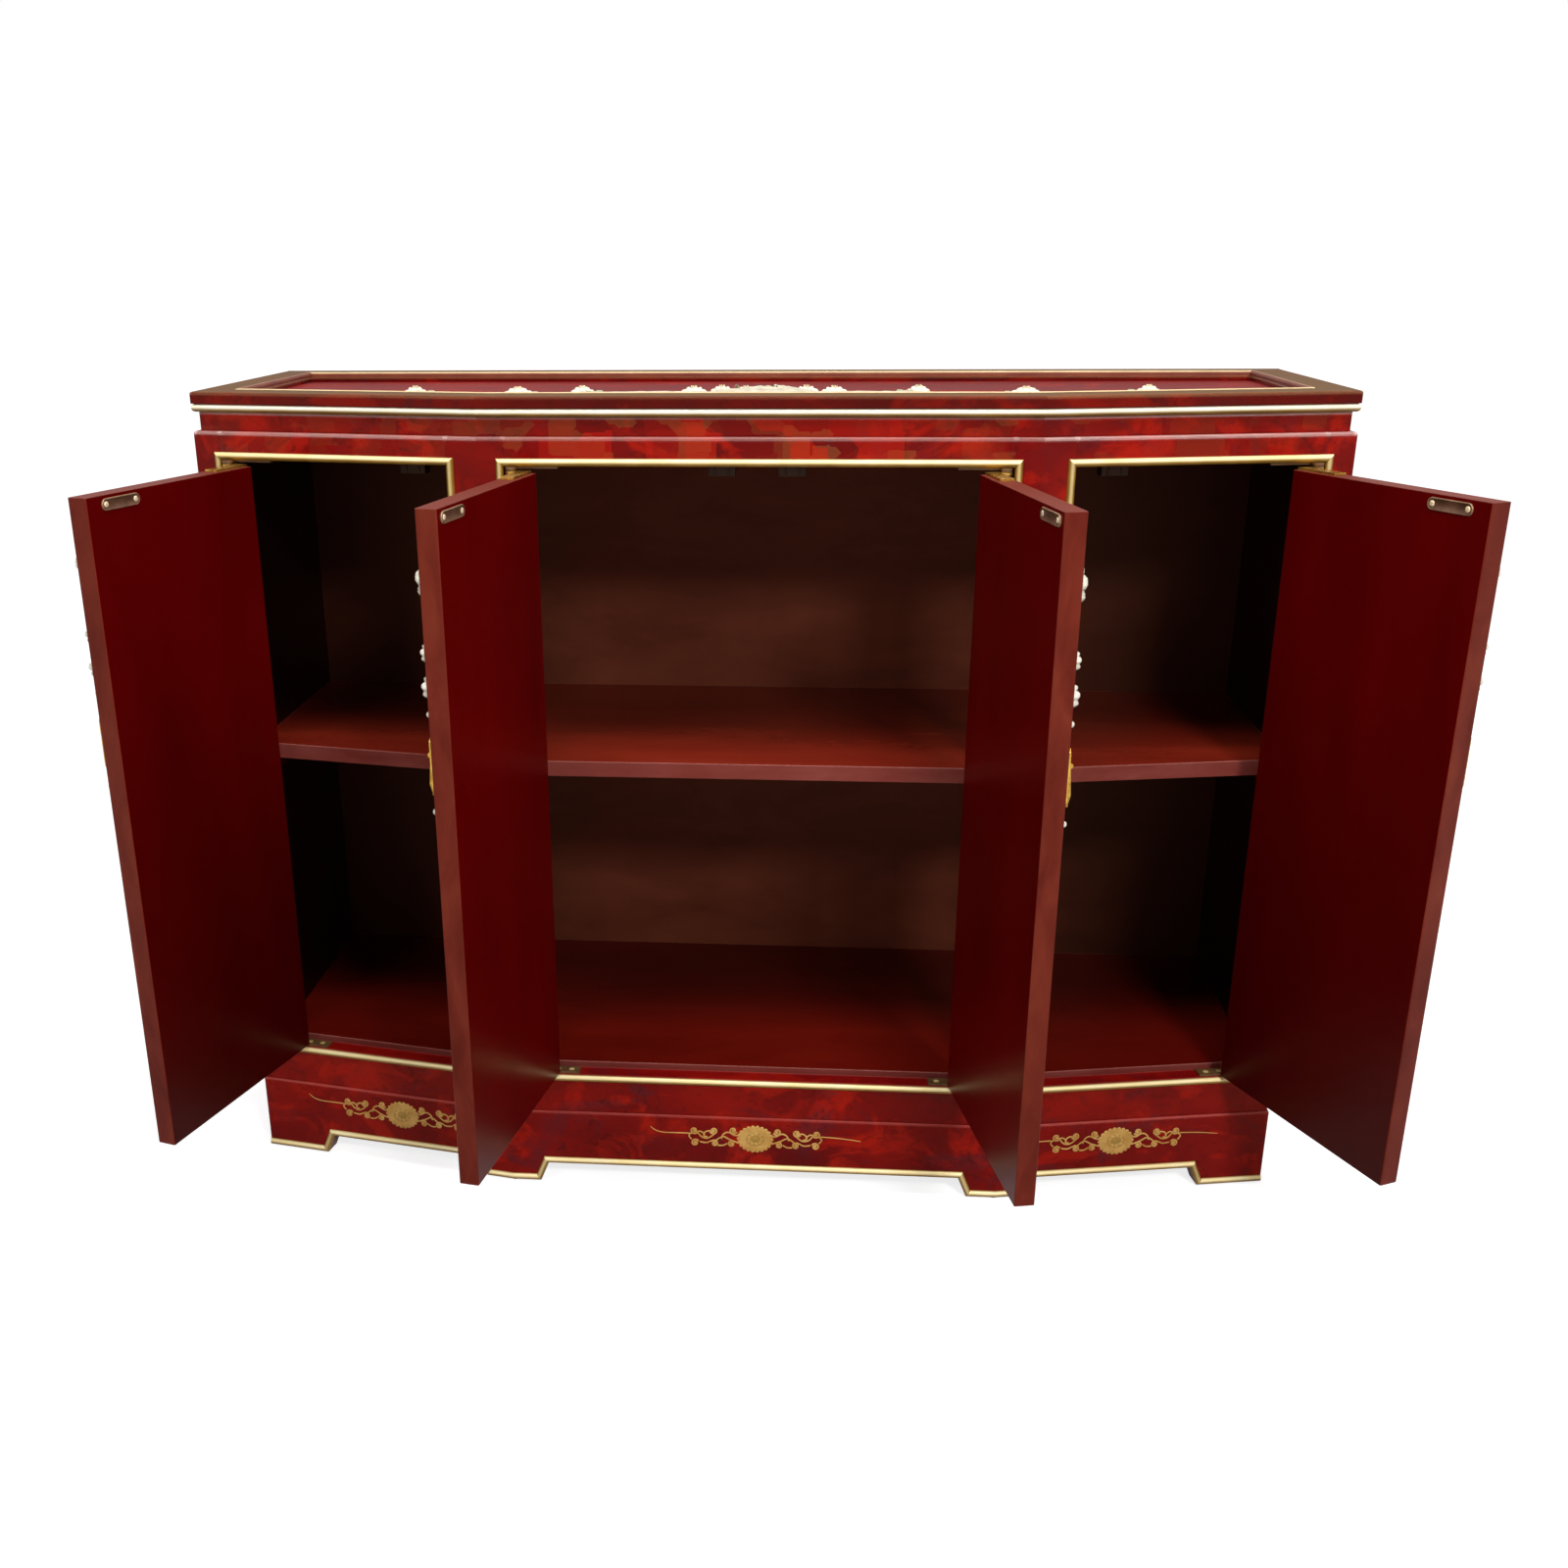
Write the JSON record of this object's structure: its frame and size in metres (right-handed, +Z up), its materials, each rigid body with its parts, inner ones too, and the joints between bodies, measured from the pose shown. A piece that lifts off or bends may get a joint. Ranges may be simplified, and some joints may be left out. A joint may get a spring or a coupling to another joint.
{
  "type": "slant front cabinet",
  "caption": "Lacquered side cabinet with a canted front, hinged doors over a shelf, a framed top and a bracket plinth.",
  "frame": {"origin": "middle of the cabinet's back plane at floor level, on the back face of the rear plinth board", "axes": "+Z up, +Y out of the back towards the wall, the doors face -Y, +X along the width to the right as one looks at the doors"},
  "size_m": [1.3257, 0.6478, 0.9223],
  "materials": {
    "red_lacquer": "high gloss red lacquer over wood",
    "dark_lacquer": "semi gloss dark red lacquer over wood",
    "back_board": "stained plywood",
    "gilt_wood": "burnished gilding",
    "brass": "polished",
    "bronze": "dull dark bronze",
    "steel": "satin",
    "soapstone": "polished cream soapstone",
    "catch_plastic": "matt"
  },
  "bodies": {
    "carcass": {"plinth_front": "red_lacquer", "plinth_slant_left": "red_lacquer", "plinth_slant_right": "red_lacquer", "plinth_side_left": "red_lacquer", "plinth_side_right": "red_lacquer", "plinth_back": "back_board", "plinth_bead": "gilt_wood", "plinth_blocks": "dark_lacquer", "glides": "steel", "bottom_board": "dark_lacquer", "side_left": "red_lacquer", "side_right": "red_lacquer", "back_panel": "back_board", "sub_top": "dark_lacquer", "mid_shelf": "dark_lacquer", "shelf_cleats": "dark_lacquer", "stile_left": "red_lacquer", "stile_right": "red_lacquer", "post_left": "red_lacquer", "post_right": "red_lacquer", "top_rail_left": "red_lacquer", "top_rail_mid": "red_lacquer", "top_rail_right": "red_lacquer", "bottom_rail_left": "red_lacquer", "bottom_rail_mid": "red_lacquer", "bottom_rail_right": "red_lacquer", "opening_beads": "gilt_wood", "neck_frieze": "red_lacquer", "top_frame": "red_lacquer", "top_panel": "red_lacquer", "top_edge_bead": "gilt_wood", "top_inner_bead": "gilt_wood", "top_relief": "soapstone", "hinge_plates": "brass", "magnet_catches": "catch_plastic", "frame_screws": "steel"},
    "outer_left_door": {"door_outer_left": "red_lacquer", "hinge_leaves_outer_left": "brass", "strike_outer_left": "bronze", "pull_plate_outer_left": "brass", "relief_outer_left": "soapstone"},
    "outer_left_pull": {"drop_pull_outer_left": "brass"},
    "inner_left_door": {"door_inner_left": "red_lacquer", "hinge_leaves_inner_left": "brass", "strike_inner_left": "bronze", "pull_plate_inner_left": "brass", "relief_inner_left": "soapstone"},
    "inner_left_pull": {"drop_pull_inner_left": "brass"},
    "inner_right_door": {"door_inner_right": "red_lacquer", "hinge_leaves_inner_right": "brass", "strike_inner_right": "bronze", "pull_plate_inner_right": "brass", "relief_inner_right": "soapstone"},
    "inner_right_pull": {"drop_pull_inner_right": "brass"},
    "outer_right_door": {"door_outer_right": "red_lacquer", "hinge_leaves_outer_right": "brass", "strike_outer_right": "bronze", "pull_plate_outer_right": "brass", "relief_outer_right": "soapstone"},
    "outer_right_pull": {"drop_pull_outer_right": "brass"}
  },
  "joints": [
    {"name": "outer_left_door_hinge", "type": "hinge", "parent": "carcass", "child": "outer_left_door", "pos_m": [-0.57182, -0.3437, 0.498], "axis": [0, 0, -1], "range_deg": [-96, 74]},
    {"name": "inner_left_door_hinge", "type": "hinge", "parent": "carcass", "child": "inner_left_door", "pos_m": [-0.2525, -0.3965, 0.498], "axis": [0, 0, -1], "range_deg": [-100, 25]},
    {"name": "inner_right_door_hinge", "type": "hinge", "parent": "carcass", "child": "inner_right_door", "pos_m": [0.2525, -0.3965, 0.498], "axis": [0, 0, 1], "range_deg": [-101.5, 23.5]},
    {"name": "outer_right_door_hinge", "type": "hinge", "parent": "carcass", "child": "outer_right_door", "pos_m": [0.57182, -0.3437, 0.498], "axis": [0, 0, 1], "range_deg": [-105, 65]},
    {"name": "outer_left_pull_pin", "type": "hinge", "parent": "outer_left_door", "child": "outer_left_pull", "pos_m": [-0.64117, -0.56778, 0.6116], "axis": [0.2855, 0.9584, 0], "range_deg": [0, 120]},
    {"name": "inner_left_pull_pin", "type": "hinge", "parent": "inner_left_door", "child": "inner_left_pull", "pos_m": [-0.29568, -0.627, 0.6116], "axis": [0.1736, 0.9848, 0], "range_deg": [0, 120]},
    {"name": "inner_right_pull_pin", "type": "hinge", "parent": "inner_right_door", "child": "inner_right_pull", "pos_m": [0.3017, -0.62579, 0.6116], "axis": [0.1994, -0.9799, 0], "range_deg": [0, 120]},
    {"name": "outer_right_pull_pin", "type": "hinge", "parent": "outer_right_door", "child": "outer_right_pull", "pos_m": [0.67537, -0.55417, 0.6116], "axis": [0.4319, -0.9019, 0], "range_deg": [0, 120]}
  ]
}
